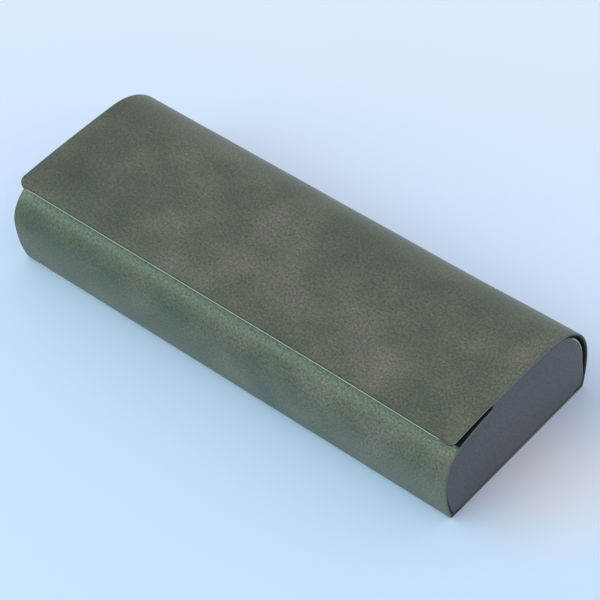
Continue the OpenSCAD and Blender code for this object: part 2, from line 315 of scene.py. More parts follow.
def flat_slab(tree, given, row_count):
    """One point per row and column, on two sides. The faces take the inputs' materials."""
    columns = add_node(tree, MATHS, {0: given["Half columns"], 1: 2, 2: 1},
                       operation="MULTIPLY_ADD")
    slab = add_node(tree, "GeometryNodeMeshCube",
                    {"Size": (2, 2, 2), "Vertices X": columns, "Vertices Y": row_count,
                     "Vertices Z": 2})
    facing = add_node(tree, "ShaderNodeSeparateXYZ",
                      {0: add_node(tree, "GeometryNodeInputNormal")}).outputs["Z"]
    painted = add_node(tree, "GeometryNodeSetMaterial",
                       {"Geometry": slab, "Material": given["Edge"]})
    for name, test, level in (("Outside", "GREATER_THAN", 0.5), ("Inside", "LESS_THAN", -0.5)):
        chosen = add_node(tree, MATHS, {0: facing, 1: level}, operation=test)
        painted = add_node(tree, "GeometryNodeSetMaterial",
                           {"Geometry": painted, "Selection": chosen, "Material": given[name]})
    return painted


# %% Step 2: which row a point is in, and what the row says


def read_row(tree, given, row_count, place):
    share = add_node(tree, MATHS, {0: place["Y"], 1: 0.5, 2: 0.5}, operation="MULTIPLY_ADD")
    last = add_node(tree, MATHS, {0: row_count, 1: 1}, operation="SUBTRACT")
    row = add_node(tree, MATHS, {0: share, 1: last}, operation="MULTIPLY")
    row = add_node(tree, "FunctionNodeFloatToInt", {0: row}, rounding_mode="ROUND")
    said = {}
    for name in ROW_VECTORS:
        value = add_node(tree, "GeometryNodeInputNamedAttribute", {"Name": name},
                         data_type="FLOAT_VECTOR")
        said[name] = add_node(tree, "GeometryNodeSampleIndex",
                              {"Geometry": given["Rows"], "Value": value, "Index": row},
                              data_type="FLOAT_VECTOR", domain="POINT")
    return said


# %% [markdown]
# The columns are counted from the nearer end: two for the rounding, one to hold it, and the rest
# spread evenly. The two powers space the rounding's columns and shape its curve so that three
# points look round.

# %% Step 3: how far out a point lies
rounding_space, rounding_power = 1.7, 1.8


def spread_columns(tree, given, place, left, right):
    """The place along the case, and how far a point has left the rounding: 0 to 1."""
    on_right = add_node(tree, MATHS, {0: place["X"], 1: 0}, operation="GREATER_THAN")
    half = add_node(tree, "ShaderNodeMix", {0: on_right, 2: left, 3: right})
    inset = add_node(tree, MATHS, {0: place["X"]}, operation="ABSOLUTE")
    inset = add_node(tree, MATHS, {0: 1, 1: inset}, operation="SUBTRACT")
    column = add_node(tree, MATHS, {0: inset, 1: given["Half columns"]}, operation="MULTIPLY")
    column = add_node(tree, MATHS, {0: column}, operation="ROUND")
    rounded = add_node(tree, "ShaderNodeMapRange", {"Value": column, "From Max": 2})
    held = add_node(tree, "ShaderNodeMapRange",
                    {"Value": column, "From Min": 2, "From Max": 3, "To Max": given["Hold"]})
    span = add_node(tree, MATHS, {0: half, 1: given["Rounding"]}, operation="SUBTRACT")
    span = add_node(tree, MATHS, {0: span, 1: given["Hold"]}, operation="SUBTRACT")
    even = add_node(tree, "ShaderNodeMapRange",
                    {"Value": column, "From Min": 3, "From Max": given["Half columns"],
                     "To Max": span})
    from_end = add_node(tree, MATHS, {0: held, 1: even}, operation="ADD")
    round_in = add_node(tree, MATHS, {0: rounded, 1: rounding_space}, operation="POWER")
    from_end = add_node(tree, MATHS, {0: round_in, 1: given["Rounding"], 2: from_end},
                        operation="MULTIPLY_ADD")
    reach = add_node(tree, MATHS, {0: half, 1: from_end}, operation="SUBTRACT")
    way = add_node(tree, MATHS, {0: place["X"]}, operation="SIGN")
    return add_node(tree, MATHS, {0: reach, 1: way}, operation="MULTIPLY"), rounded


# %% Step 4: how deep a point lies
most_curl = 0.45                             # the rounding stops at this share of the thickness


def depth_below_face(tree, given, place, section, rounded):
    """Depth below the outer face, with the rounding taken off both sides."""
    depth, thick, row_curl = section
    end_curl = add_node(tree, MATHS, {0: 1, 1: rounded}, operation="SUBTRACT")
    end_curl = add_node(tree, MATHS, {0: end_curl, 1: rounding_power}, operation="POWER")
    end_curl = add_node(tree, MATHS, {0: end_curl, 1: given["Rounding"]}, operation="MULTIPLY")
    curl = add_node(tree, MATHS, {0: end_curl, 1: row_curl}, operation="MAXIMUM")
    most = add_node(tree, MATHS, {0: thick, 1: most_curl}, operation="MULTIPLY")
    curl = add_node(tree, MATHS, {0: curl, 1: most}, operation="MINIMUM")
    middle = add_node(tree, MATHS, {0: thick, 1: 0.5, 2: depth}, operation="MULTIPLY_ADD")
    offset = add_node(tree, MATHS, {0: thick, 1: 0.5}, operation="MULTIPLY")
    offset = add_node(tree, MATHS, {0: offset, 1: curl}, operation="SUBTRACT")
    offset = add_node(tree, MATHS, {0: offset, 1: place["Z"]}, operation="MULTIPLY")
    return add_node(tree, MATHS, {0: middle, 1: offset}, operation="SUBTRACT")


# %% [markdown]
# The last step puts the others together. The flat place of each point is stored as "sheet", so
# that a pattern can follow the sheet round its bends. Glued cloth is never quite flat, so the
# sheet gets a faint ripple. Towards the right end the lid's corner sags and its bend stands out.

# %% Step 5: the folded place
ripple_mm = 30                               # width of one ripple in the sheet


def fill_sheet_tree(tree):
    given = add_node(tree, "NodeGroupInput").outputs
    size = add_node(tree, "GeometryNodeAttributeDomainSize", {"Geometry": given["Rows"]})
    row_count = size.outputs["Point Count"]
    painted = flat_slab(tree, given, row_count)
    place = add_node(tree, "ShaderNodeSeparateXYZ",
                     {0: add_node(tree, "GeometryNodeInputPosition")}).outputs
    said = read_row(tree, given, row_count, place)
    left, right, sag = add_node(tree, "ShaderNodeSeparateXYZ", {0: said["ends"]}).outputs
    section = add_node(tree, "ShaderNodeSeparateXYZ", {0: said["section"]}).outputs
    along, lift, _ = add_node(tree, "ShaderNodeSeparateXYZ", {0: said["flat"]}).outputs
    x, rounded = spread_columns(tree, given, place, left, right)
    deep = depth_below_face(tree, given, place, section, rounded)
    stored_place = add_node(tree, "ShaderNodeCombineXYZ", {0: x, 1: along, 2: deep})

    flat = add_node(tree, "ShaderNodeCombineXYZ", {0: x, 1: along})
    ripple = add_node(tree, "ShaderNodeTexNoise",
                      {"Vector": flat, "Scale": 1 / (ripple_mm * MM), "Detail": 1},
                      noise_dimensions="2D")
    ripple = add_node(tree, MATHS, {0: ripple.outputs["Fac"], 1: 0.5}, operation="SUBTRACT")
    deep = add_node(tree, MATHS, {0: ripple, 1: given["Wave"], 2: deep},
                    operation="MULTIPLY_ADD")
    droop = add_node(tree, "ShaderNodeMapRange",
                     {"Value": x, "From Min": given["Sag from"], "From Max": given["Half length"]},
                     interpolation_type="SMOOTHSTEP")
    low = add_node(tree, MATHS, {0: droop, 1: sag}, operation="MULTIPLY")
    out = add_node(tree, MATHS, {0: droop, 1: lift}, operation="MULTIPLY")
    deep = add_node(tree, MATHS, {0: deep, 1: out}, operation="SUBTRACT")

    aside = add_node(tree, "ShaderNodeCombineXYZ", {0: x, 2: low})
    inside = add_node(tree, "ShaderNodeVectorMath", {0: said["inward"], "Scale": deep},
                      operation="SCALE")
    folded = add_node(tree, "ShaderNodeVectorMath", {0: said["position"], 1: inside},
                      operation="ADD")
    folded = add_node(tree, "ShaderNodeVectorMath", {0: folded, 1: aside}, operation="ADD")
    stored = add_node(tree, "GeometryNodeStoreNamedAttribute",
                      {"Geometry": painted, "Name": "sheet", "Value": stored_place},
                      data_type="FLOAT_VECTOR", domain="POINT")
    moved = add_node(tree, "GeometryNodeSetPosition", {"Geometry": stored, "Position": folded})
    smooth = add_node(tree, "GeometryNodeSetShadeSmooth", {"Geometry": moved})
    real = add_node(tree, "GeometryNodeRealizeInstances", {"Geometry": smooth})
    add_node(tree, "NodeGroupOutput", {"Sheet": real})


fill_sheet_tree(sheet_tree)
print("folded_sheet tree:", len(sheet_tree.nodes), "nodes")

# %% [markdown]
# Each sheet is made by one call. It writes the rows as a line of points with their attributes,
# lets the tree fold the slab round them, and keeps the result as a plain mesh.

# %% Making one folded sheet
half_columns = 28                            # columns of the mesh between the middle and one end


def make_sheet(name, rows, materials, wave, sag_from=0.0):
    """rows holds (row, along, (left, right), (depth, thickness, curl), sag, lift), all in mm.
    wave is the height of the ripple in mm, and the right end sags and lifts beyond sag_from."""
    mesh = bpy.data.meshes.new(name)
    mesh.from_pydata([(0, (r[0][0] - mid_y) * MM, r[0][1] * MM) for r in rows],
                     [(i, i + 1) for i in range(len(rows) - 1)], [])
    values = {"inward": [(0, row[2], row[3]) for row, *_ in rows], "ends": [], "section": [],
              "flat": []}
    for _, along, (left, right), section, sag, lift in rows:
        values["ends"].append((left * MM, right * MM, -sag * MM))
        values["section"].append(tuple(v * MM for v in section))
        values["flat"].append((along * MM, lift * MM, 0))
    for key, vectors in values.items():
        attribute = mesh.attributes.new(key, "FLOAT_VECTOR", "POINT")
        attribute.data.foreach_set("vector", [v for vector in vectors for v in vector])
    sheet = bpy.data.objects.new(name, mesh)
    bpy.context.scene.collection.objects.link(sheet)
    folding = sheet.modifiers.new("fold", "NODES")
    folding.node_group = sheet_tree
    inputs = dict(zip(SHEET_FLOATS, (float(half_columns), rounding * MM, hold * MM, wave * MM,
                                     sag_from * MM, case_l / 2 * MM)))
    inputs.update(zip(SHEET_MATERIALS, materials))
    for socket in sheet_tree.interface.items_tree:
        if socket.in_out == "INPUT" and socket.name in inputs:
            folding[socket.identifier] = inputs[socket.name]
    graph = bpy.context.evaluated_depsgraph_get()
    folded = bpy.data.meshes.new_from_object(sheet.evaluated_get(graph))
    sheet.modifiers.clear()
    sheet.data = folded
    folded.name = name
    while None in list(folded.materials):    # the slab began with an empty slot
        folded.materials.pop(index=list(folded.materials).index(None))
    used = sorted({p.material_index for p in folded.polygons})
    print(name, len(folded.polygons), "faces, materials", [folded.materials[i].name for i in used])
    return sheet


def ease(value, low, high):
    """0 below low, 1 above high, and a smooth rise between."""
    t = min(max((value - low) / (high - low), 0), 1)
    return t * t * (3 - 2 * t)


def edge_curl(distance):
    """How far the face drops at a given distance from a cut edge."""
    reach = max(rounding - distance, 0)
    return rounding - math.sqrt(rounding ** 2 - reach ** 2)


def drawn_in(distance, radius):
    """How far the end of a row is drawn in by a rounded corner in the free edge."""
    short = max(radius - distance, 0)
    return radius - math.sqrt(radius ** 2 - short ** 2)


# %% [markdown]
# ## Covers: grey-green coated cloth
# The cover is polyurethane leather cloth: a knitted backing with a soft, matt coating that is
# buffed so that it looks like worn suede. To the eye that gives cloudy patches of olive, green
# and a faint brown, 10 to 30 mm across, with a fine grain about a millimetre wide over them.
# The pattern reads the stored flat place, so it runs on without a break round the bends. Noise
# gives the clouds, and a few soft spots put the lightest and darkest ones where the case has them.
# On the shell some spots are painted light and shade instead: dark ones under the ends of the lid,
# and broad ones that darken the front wall's left and lighten its right. A spot is x, distance
# along the sheet, radius (mm), and how much lighter it is.

# %% Clouds with soft spots
LID_SPOTS = (
    (-68, 24, 30, -0.08), (-10, 39, 11, 0.17), (-4, 33, 8, 0.08), (-27, 26, 9, 0.10),
    (-37, 16, 10, 0.10), (-25, 5, 11, 0.10), (7, 28, 9, 0.09), (20, 16, 12, 0.07),
    (30, 22, 9, 0.05), (35, 6, 7, 0.08), (56, 10, 11, 0.14), (60, 19, 8, 0.07),
    (72, 34, 9, 0.15), (85, 40, 8, 0.06), (84, 6, 17, -0.05), (-65, 30, 9, 0.05),
    (-80, 42, 22, -0.12), (-76, 9, 16, -0.12), (0, 13, 12, -0.09), (43, 11, 9, -0.07),
    (28, 43, 11, -0.07), (61, 28, 9, -0.05), (-45, 45, 12, -0.04), (-25, 58, 34, -0.06),
    (-84, 14, 15, -0.09), (-56, 9, 16, -0.05), (0, 6, 16, -0.05), (-80, 46, 18, -0.08),
    (-57, 47, 18, -0.12), (-11, 47, 12, 0.06))
# Painted shade: the ends of the tail under the ends of the lid are darkened, for the shadow in the
# gap
CORNER_GAP_SHADE = tuple((x, along, 5, -1.6) for x in (-89, 89) for along in (2, 6, 10, 13.5))
# Painted light and shade on the shell: the broad spot at x -60 darkens the front wall's left, and
# the one at x 60 lightens its right
SHELL_SPOTS = CORNER_GAP_SHADE + (
    (-84, 22, 11, -0.10), (-66, 26, 12, -0.06), (-60, 40, 34, -0.05), (-33, 31, 12, 0.09),
    (-13, 25, 9, -0.06), (0, 36, 22, 0.03), (8, 42, 13, 0.15), (30, 26, 8, -0.05),
    (30, 41, 10, 0.10), (48, 20, 5, 0.10), (52, 29, 13, -0.09), (60, 36, 40, 0.15),
    (84, 20, 8, 0.10))
broad_mm, patch_mm = 34, 12                  # size of the clouds and of the patches in them
cloud_shift = (0.231, 0.412, 0.1)            # which part of the endless noise is used, metres


def cloudiness(tree, place, spots):
    """Broad and small noise in equal parts, about 0.5, raised or lowered by the spots."""
    moved = add_node(tree, "ShaderNodeMapping", {"Vector": place, "Location": cloud_shift})
    broad = add_node(tree, "ShaderNodeTexNoise",
                     {"Vector": moved, "Scale": 1 / (broad_mm * MM), "Detail": 2,
                      "Roughness": 0.55})
    patch = add_node(tree, "ShaderNodeTexNoise",
                     {"Vector": moved, "Scale": 1 / (patch_mm * MM), "Detail": 3,
                      "Roughness": 0.6})
    mixed = add_node(tree, "ShaderNodeMix", {0: 0.5, 2: broad, 3: patch})
    for x, along, radius, lighter in spots:
        away = add_node(tree, "ShaderNodeVectorMath",
                        {0: place, 1: (x * MM, along * MM, 0)}, operation="DISTANCE")
        more = add_node(tree, "ShaderNodeMapRange",
                        {"Value": away.outputs["Value"], "From Max": radius * MM,
                         "To Min": lighter, "To Max": 0}, interpolation_type="SMOOTHSTEP")
        mixed = add_node(tree, MATHS, {0: mixed, 1: more}, operation="ADD")
    return mixed


print(len(LID_SPOTS), "spots on the lid,", len(SHELL_SPOTS), "on the shell")

# %% [markdown]
# Two marks of painted light follow the sheet. Beside its cut edges the cloth is darkened, for the
# first 16 to 20 mm from the free edge: painted shade along the lid's front and along the tail under
# it. And the shoulder, just in front of the lid, gets a paler and greener band, a painted sheen.

# %% Painted shade beside the cut edges, and a painted sheen on the shoulder
edge_shade_inset, edge_shade_width = 0.1, 0.8      # full strength and none, in mm from a cut edge
edge_shade_fades, edge_shade_ends = 16, 20         # distance along the sheet, mm
edge_shade_light = 0.5                          # the share of light kept at the very edge


def painted_edge_shade(tree, x, along):
    """Painted shade beside the cut edges: the share of light the cover keeps, edge_shade_light to
    1.
    """
    aside = add_node(tree, MATHS, {0: x}, operation="ABSOLUTE")
    aside = add_node(tree, MATHS, {0: case_l / 2 * MM, 1: aside}, operation="SUBTRACT")
    inset = add_node(tree, MATHS, {0: aside, 1: along}, operation="MINIMUM")
    kept = add_node(tree, "ShaderNodeMapRange",
                    {"Value": inset, "From Min": edge_shade_inset * MM,
                     "From Max": edge_shade_width * MM, "To Min": edge_shade_light})
    further_back = add_node(tree, "ShaderNodeMapRange",
                            {"Value": along, "From Min": edge_shade_fades * MM,
                             "From Max": edge_shade_ends * MM})
    return add_node(tree, MATHS, {0: kept, 1: further_back}, operation="MAXIMUM")


def painted_sheen(tree, along, mixed, cloud, band):
    """Blends a painted sheen's colour over the clouds, but not over the painted shade under the
    ends of the lid. band is where it begins, is strongest and has faded out along the sheet (mm),
    and its colour."""
    begins, brightest, faded, sheen_colour = band
    rise = add_node(tree, "ShaderNodeMapRange",
                    {"Value": along, "From Min": begins * MM, "From Max": brightest * MM})
    fall = add_node(tree, "ShaderNodeMapRange",
                    {"Value": along, "From Min": faded * MM, "From Max": brightest * MM},
                    interpolation_type="SMOOTHSTEP")
    sheen_share = add_node(tree, MATHS, {0: rise, 1: fall}, operation="MULTIPLY")
    outside_painted_shade = add_node(tree, "ShaderNodeMapRange", {"Value": mixed, "From Max": 0.3})
    sheen_share = add_node(tree, MATHS, {0: sheen_share, 1: outside_painted_shade}, operation="MULTIPLY")
    return add_node(tree, "ShaderNodeMix", {0: sheen_share, 6: cloud, 7: linear(sheen_colour)},
                    data_type="RGBA").outputs[2]


# %% [markdown]
# One function makes all the leather cloths. The clouds pick a colour from a ramp, the grain makes
# it lighter and darker and also gives the bump, and the lighter patches are a little rougher. The
# end panels' cloth is of the same kind, blue-grey and more even in colour. It isn't on a folded
# sheet, so it reads plain object coordinates.

# %% Leather cloth materials
GREEN_CLOUDS = ((0, "#080a08"), (0.28, "#374236"), (0.42, "#404a3e"), (0.52, "#4b5245"),
                (0.62, "#56594f"), (0.76, "#626258"))
# Painted light: the same cloth as the flap's, with red and green raised, so that the front wall
# reads brighter than the lid
SHELL_CLOUDS = ((0, "#080a08"), (0.28, "#3a4536"), (0.42, "#434e3e"), (0.52, "#4f5645"),
                (0.62, "#5a5d50"), (0.76, "#67675a"))
GREY_CLOUDS = ((0.30, "#3f4449"), (0.5, "#44494e"), (0.70, "#4a4f54"))
# Painted sheen: a paler, greener band on the shoulder just in front of the lid, for the window's
# reflection
SHOULDER_PAINTED_SHEEN = (10, 17.5, 23, "#6b7966")
GREEN_FINISH = {"grain_mm": 0.8, "grain_light": 0.6, "roughness": 0.52, "bump_mm": 0.06}
GREY_FINISH = {"grain_mm": 0.7, "grain_light": 0.5, "roughness": 0.62, "bump_mm": 0.05}
rough_spread = 0.06                          # the roughness varies by this much either way


def start_material(name):
    material = bpy.data.materials.new(name)
    material.use_nodes = True
    tree = material.node_tree
    tree.nodes.clear()
    return material, tree


def leather_cloth(name, clouds, grain_mm, grain_light, roughness, bump_mm, spots=(), band=None,
                  on_sheet=True):
    """Coated cloth. clouds holds the ramp's stops, and grain_light is how strong the grain is."""
    material, tree = start_material(name)
    if on_sheet:
        place = add_node(tree, "ShaderNodeAttribute", attribute_name="sheet").outputs["Vector"]
    else:
        place = add_node(tree, "ShaderNodeTexCoord").outputs["Object"]
    mixed = cloudiness(tree, place, spots)
    cloud = add_node(tree, "ShaderNodeValToRGB", {"Fac": mixed})
    set_stops(cloud, clouds)
    grain = add_node(tree, "ShaderNodeTexNoise",
                     {"Vector": place, "Scale": 1 / (grain_mm * MM), "Detail": 3,
                      "Roughness": 0.7})
    light = add_node(tree, "ShaderNodeMapRange",
                     {"Value": grain, "From Min": 0.3, "From Max": 0.7,
                      "To Min": 1 - grain_light, "To Max": 1 + grain_light})
    if on_sheet:
        x, along, _ = add_node(tree, "ShaderNodeSeparateXYZ", {0: place}).outputs
        light = add_node(tree, MATHS, {0: light, 1: painted_edge_shade(tree, x, along)},
                         operation="MULTIPLY")
    if band:
        cloud = painted_sheen(tree, along, mixed, cloud, band)
    colour = add_node(tree, "ShaderNodeVectorMath", {0: cloud, "Scale": light},
                      operation="SCALE")
    rough = add_node(tree, "ShaderNodeMapRange",
                     {"Value": mixed, "From Min": 0.35, "From Max": 0.65,
                      "To Min": roughness - rough_spread, "To Max": roughness + rough_spread})
    bump = add_node(tree, "ShaderNodeBump",
                    {"Height": grain, "Distance": bump_mm * MM, "Strength": 0.6})
    shader = add_node(tree, "ShaderNodeBsdfPrincipled",
                      {"Base Color": colour, "Roughness": rough, "Normal": bump, "IOR": 1.46,
                       "Specular IOR Level": 0.5, "Sheen Weight": 0.1, "Sheen Roughness": 0.5})
    add_node(tree, "ShaderNodeOutputMaterial", {"Surface": shader})
    print(name, len(tree.nodes), "nodes")
    return material


flap_cloth = leather_cloth("grey_green_leather_cloth_flap", GREEN_CLOUDS, **GREEN_FINISH,
                           spots=LID_SPOTS)
shell_cloth = leather_cloth("grey_green_leather_cloth_shell", SHELL_CLOUDS, **GREEN_FINISH,
                            spots=SHELL_SPOTS, band=SHOULDER_PAINTED_SHEEN)
grey_cloth = leather_cloth("blue_grey_leather_cloth", GREY_CLOUDS, **GREY_FINISH, on_sheet=False)

# %% [markdown]
# ## Cut edges
# The free edges are cut through all layers and sealed with edge paint, and its colour also holds
# painted light. Along the lid's front edge and the first 17 mm of its sides, the upper arris is a
# pale grey-green, a painted highlight. Below it the paint is grey in front and nearly black at the
# sides, painted shade for the gap under the lid. Further back it is a dull olive, and it is darkest
# round the bend and down the rear wall. Near the two front corners the pale line is dulled, painted
# shade where the edge turns away from the light. The paint therefore reads two things from the
# stored flat place: how far along the sheet a point lies, and how deep below the outer face.

# %% Edge paint
ramp_mm = 100                                # the length of sheet that a ramp of stops covers
dull_corner_from, dull_corner_to = 84.5, 86.5        # from the middle, where the front edge's pale line is dulled by painted shade
dull_corner_shift = 0.8                          # the dull part reads the ramp this much further on
split_blur = 0.06                            # half the width of the change from top to low
speck_mm = 0.9                               # width of the flecks in paint and worn coating


def edge_paint(name, top_stops, low_stops, split_mm):
    """Sealed cut edge. The stops are (distance along in mm, colour) above and below the split."""
    material, tree = start_material(name)
    place = add_node(tree, "ShaderNodeAttribute", attribute_name="sheet").outputs["Vector"]
    x, along, deep = add_node(tree, "ShaderNodeSeparateXYZ", {0: place}).outputs
    aside = add_node(tree, MATHS, {0: x}, operation="ABSOLUTE")
    corner_shade_shift = add_node(tree, "ShaderNodeMapRange",
                       {"Value": aside, "From Min": dull_corner_from * MM,
                        "From Max": dull_corner_to * MM, "To Max": dull_corner_shift * MM})
    along_with_corner_shade = add_node(tree, MATHS, {0: along, 1: corner_shade_shift}, operation="ADD")
    share = add_node(tree, "ShaderNodeMapRange", {"Value": along_with_corner_shade, "From Max": ramp_mm * MM})
    top, low = (add_node(tree, "ShaderNodeValToRGB", {"Fac": share}) for _ in range(2))
    set_stops(top, [(distance / ramp_mm, colour) for distance, colour in top_stops])
    set_stops(low, [(distance / ramp_mm, colour) for distance, colour in low_stops])
    below = add_node(tree, "ShaderNodeMapRange",
                     {"Value": deep, "From Min": (split_mm - split_blur) * MM,
                      "From Max": (split_mm + split_blur) * MM})
    base = add_node(tree, "ShaderNodeMix", {0: below, 6: top, 7: low},
                    data_type="RGBA").outputs[2]
    speck = add_node(tree, "ShaderNodeTexNoise",
                     {"Vector": place, "Scale": 1 / (speck_mm * MM), "Detail": 2})
    light = add_node(tree, "ShaderNodeMapRange", {"Value": speck, "To Min": 0.85, "To Max": 1.15})
    colour = add_node(tree, "ShaderNodeVectorMath", {0: base, "Scale": light}, operation="SCALE")
    bump = add_node(tree, "ShaderNodeBump", {"Height": speck, "Distance": 0.03 * MM})
    shader = add_node(tree, "ShaderNodeBsdfPrincipled",
                      {"Base Color": colour, "Roughness": 0.6, "Normal": bump, "IOR": 1.5,
                       "Specular IOR Level": 0.3})
    add_node(tree, "ShaderNodeOutputMaterial", {"Surface": shader})
    print(name, len(top_stops), "stops on top,", len(low_stops), "below")
    return material


# Painted highlight: the pale top stops up to 17 mm along; painted shade: the near-black low stops
# from 0.5 to 17 mm
flap_edge = edge_paint(
    "edge_paint_and_painted_light_flap",
    [(0, "#ccd6c0"), (0.03, "#ccd6c0"), (0.25, "#72786d"), (1.4, "#72786d"), (2.4, "#b2b8a8"),
     (17, "#aeb4a6"), (21, "#6e7569"), (54, "#6a7167"), (60, "#5f6c62"), (68, "#4c5a55")],
    [(0, "#6a716b"), (0.03, "#6a716b"), (0.5, "#060708"), (17, "#060708"), (20, "#6c7367"),
     (55, "#666d65"), (60, "#3c4740"), (66, "#232c2a")], split_mm=0.46)
# Painted shade: the near-black low stops from 42 to 54 mm along, at the foot of the front wall, for
# the shadow in the seam beside the end panel
shell_edge = edge_paint(
    "edge_paint_and_painted_shade_shell",
    [(0, "#70787c"), (12, "#6a7272"), (18, "#6c7468"), (40, "#666e63"), (52, "#666e6a"),
     (58, "#3a424c")],
    [(0, "#666e72"), (12, "#646c6c"), (18, "#646c61"), (36, "#50564e"), (42, "#0a0c0d"),
     (54, "#0a0c0d"), (58, "#4c5560")], split_mm=0.5)

# %% [markdown]
# ## Lining and board
# The inside is lined with microfibre, a cloth with a very short nap: it has no gloss, a little
# sheen, and tiny flecks where the nap lies in different directions. The boards are dense grey
# case board, whose raw faces show a faint mottle of pressed fibres.

# %% Lining and board


def napped_cloth(name, dark, light):
    """Microfibre lining, in object coordinates."""
    material, tree = start_material(name)
    place = add_node(tree, "ShaderNodeTexCoord").outputs["Object"]
    flecks = add_node(tree, "ShaderNodeTexNoise",
                      {"Vector": place, "Scale": 1 / (0.7 * MM), "Detail": 3, "Roughness": 0.7})
    brushed = add_node(tree, "ShaderNodeTexNoise",
                       {"Vector": place, "Scale": 1 / (9 * MM), "Detail": 2})
    mixed = add_node(tree, "ShaderNodeMix", {0: 0.6, 2: brushed, 3: flecks})
    colour = add_node(tree, "ShaderNodeValToRGB", {"Fac": mixed})
    set_stops(colour, [(0.35, dark), (0.65, light)])
    bump = add_node(tree, "ShaderNodeBump", {"Height": flecks, "Distance": 0.08 * MM})
    shader = add_node(tree, "ShaderNodeBsdfPrincipled",
                      {"Base Color": colour, "Roughness": 0.95, "Normal": bump,
                       "Specular IOR Level": 0.2, "Sheen Weight": 0.35, "Sheen Roughness": 0.4})
    add_node(tree, "ShaderNodeOutputMaterial", {"Surface": shader})
    return material


def pressed_board(name, dark, light):
    """Case board, in object coordinates."""
    material, tree = start_material(name)
    place = add_node(tree, "ShaderNodeTexCoord").outputs["Object"]
    mottle = add_node(tree, "ShaderNodeTexNoise",
                      {"Vector": place, "Scale": 1 / (2.5 * MM), "Detail": 4, "Roughness": 0.6})
    colour = add_node(tree, "ShaderNodeValToRGB", {"Fac": mottle})
    set_stops(colour, [(0.35, dark), (0.65, light)])
    bump = add_node(tree, "ShaderNodeBump", {"Height": mottle, "Distance": 0.03 * MM})
    shader = add_node(tree, "ShaderNodeBsdfPrincipled",
                      {"Base Color": colour, "Roughness": 0.85, "Normal": bump})
    add_node(tree, "ShaderNodeOutputMaterial", {"Surface": shader})
    return material


lining_cloth = napped_cloth("microfibre_lining", "#4d5052", "#65686a")
case_board = pressed_board("grey_case_board", "#857a68", "#978b78")
print("materials:", len(bpy.data.materials))

# %% [markdown]
# ## The shell: front wall and base
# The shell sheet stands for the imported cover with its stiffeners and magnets, because on the real
# case they are glued into one sheet. It is full thickness up to a bare strip beside the rear
# fold. The lining is a separate thin sheet inside it, set back from the cut edges.

# %% Shell sheet and its lining
lining_set_back = 0.65                       # from the free edges
lining_stop = 1.2                            # from the seam at the rear fold
lining_lap = 0.02                            # the lining is pressed this far into its glue
rim_recess = 0.08                            # the lining is trimmed nearly flush at the ends
lining_reach = case_l / 2 - rim_recess
shell_wave = 0.08


def thickness_by_fold(distance_from_fold, full):
    """The sheet is skived to its bare cover beside the rear fold."""
    return cover_t + (full - cover_t) * ease(distance_from_fold, 0, 1)


shell_end = shell_rows[-1][1]
shell_table = []
for row, along in shell_rows:
    reach = case_l / 2 - drawn_in(along, tail_corner_r)
    section = (0, thickness_by_fold(shell_end - along, body_t), edge_curl(along))
    shell_table.append((row, along, (reach, reach), section, 0, 0))
shell = make_sheet("shell_sheet", shell_table, (shell_cloth, shell_edge, shell_edge), shell_wave)
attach(shell, "box")
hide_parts("shell_cover", "front_stiffener", "base_stiffener",
            "front_magnet_left", "front_magnet_right")


def lining_section(along, depth):
    """Depth, thickness and curl of a lining that lies at a given depth."""
    return (depth - lining_lap, wall_t - body_t + lining_lap,
            0.4 * edge_curl(along - lining_set_back))


lining_table = [(row, along, (lining_reach, lining_reach), lining_section(along, body_t), 0, 0)
                for row, along in shell_rows
                if lining_set_back <= along <= shell_end - lining_stop]
shell_lining = make_sheet("shell_lining_cloth", lining_table,
                          (lining_cloth, shell_edge, lining_cloth), shell_wave)
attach(shell_lining, "box")
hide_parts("shell_lining")

# %% [markdown]
# ## The flap: lid, bend and rear wall
# The flap sheet is made in the same way. It is a hand-made thing: its right front corner is cut
# tighter and hangs a little lower than the rest, and the bend stands out a little at that end.

# %% The flap sheet
corner_sag, sag_reach = 0.75, 30             # at the corner, and how far along the sheet
sag_from = 42                                # the sag and the lift begin here, from the middle
right_corner_r, right_short = 2.2, 0.35      # the right corner's radius, and how short it is cut
short_fades, short_ends = 10, 40             # distances along over which the shortness fades
bend_lift = 0.45                             # how far the bend stands out at the right end
lifted = (50, 62, 68, 82)                    # distances along over which it rises and falls
flap_end = flap_rows[-1][1]
low_reach = 30                               # length of the rear wall's lower part
bare_to, half_skived, full_from = 2.4, 5.5, 9    # heights at which the sheet thickens
first_ply = 0.15                             # what it gains up to half_skived
flap_wave = 0.16


def flap_thickness(row, along):
    """Bare cover at the fold, then a slow rise that keeps clear of the end panels."""
    z = row[1]
    if along < flap_end - low_reach:
        return body_t
    if z < bare_to:
        return cover_t
    return (cover_t + first_ply * ease(z, bare_to, half_skived)
            + (body_t - cover_t - first_ply) * ease(z, half_skived, full_from))


def flap_shape(along):
    """The sag of the right front corner and the lift of the bend, at a distance along."""
    sag = corner_sag * (1 - ease(along, 0, sag_reach))
    return sag, bend_lift * ease(along, *lifted[:2]) * (1 - ease(along, *lifted[2:]))


def flap_reach(along, from_edge, half):
    """Left and right reach at a distance from the free edge, with the two rounded corners."""
    short = right_short * (1 - ease(along, short_fades, short_ends))
    return (half - drawn_in(from_edge, lid_corner_r),
            half - short - drawn_in(from_edge, right_corner_r))


flap_table = [(row, along, flap_reach(along, along, case_l / 2),
               (0, flap_thickness(row, along), edge_curl(along)), *flap_shape(along))
              for row, along in flap_rows]
flap = make_sheet("flap_sheet", flap_table, (flap_cloth, flap_edge, flap_edge), flap_wave,
                  sag_from)
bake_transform(flap)
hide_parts("flap_cover", "flap_stiffener", "lid_magnet_left", "lid_magnet_right")

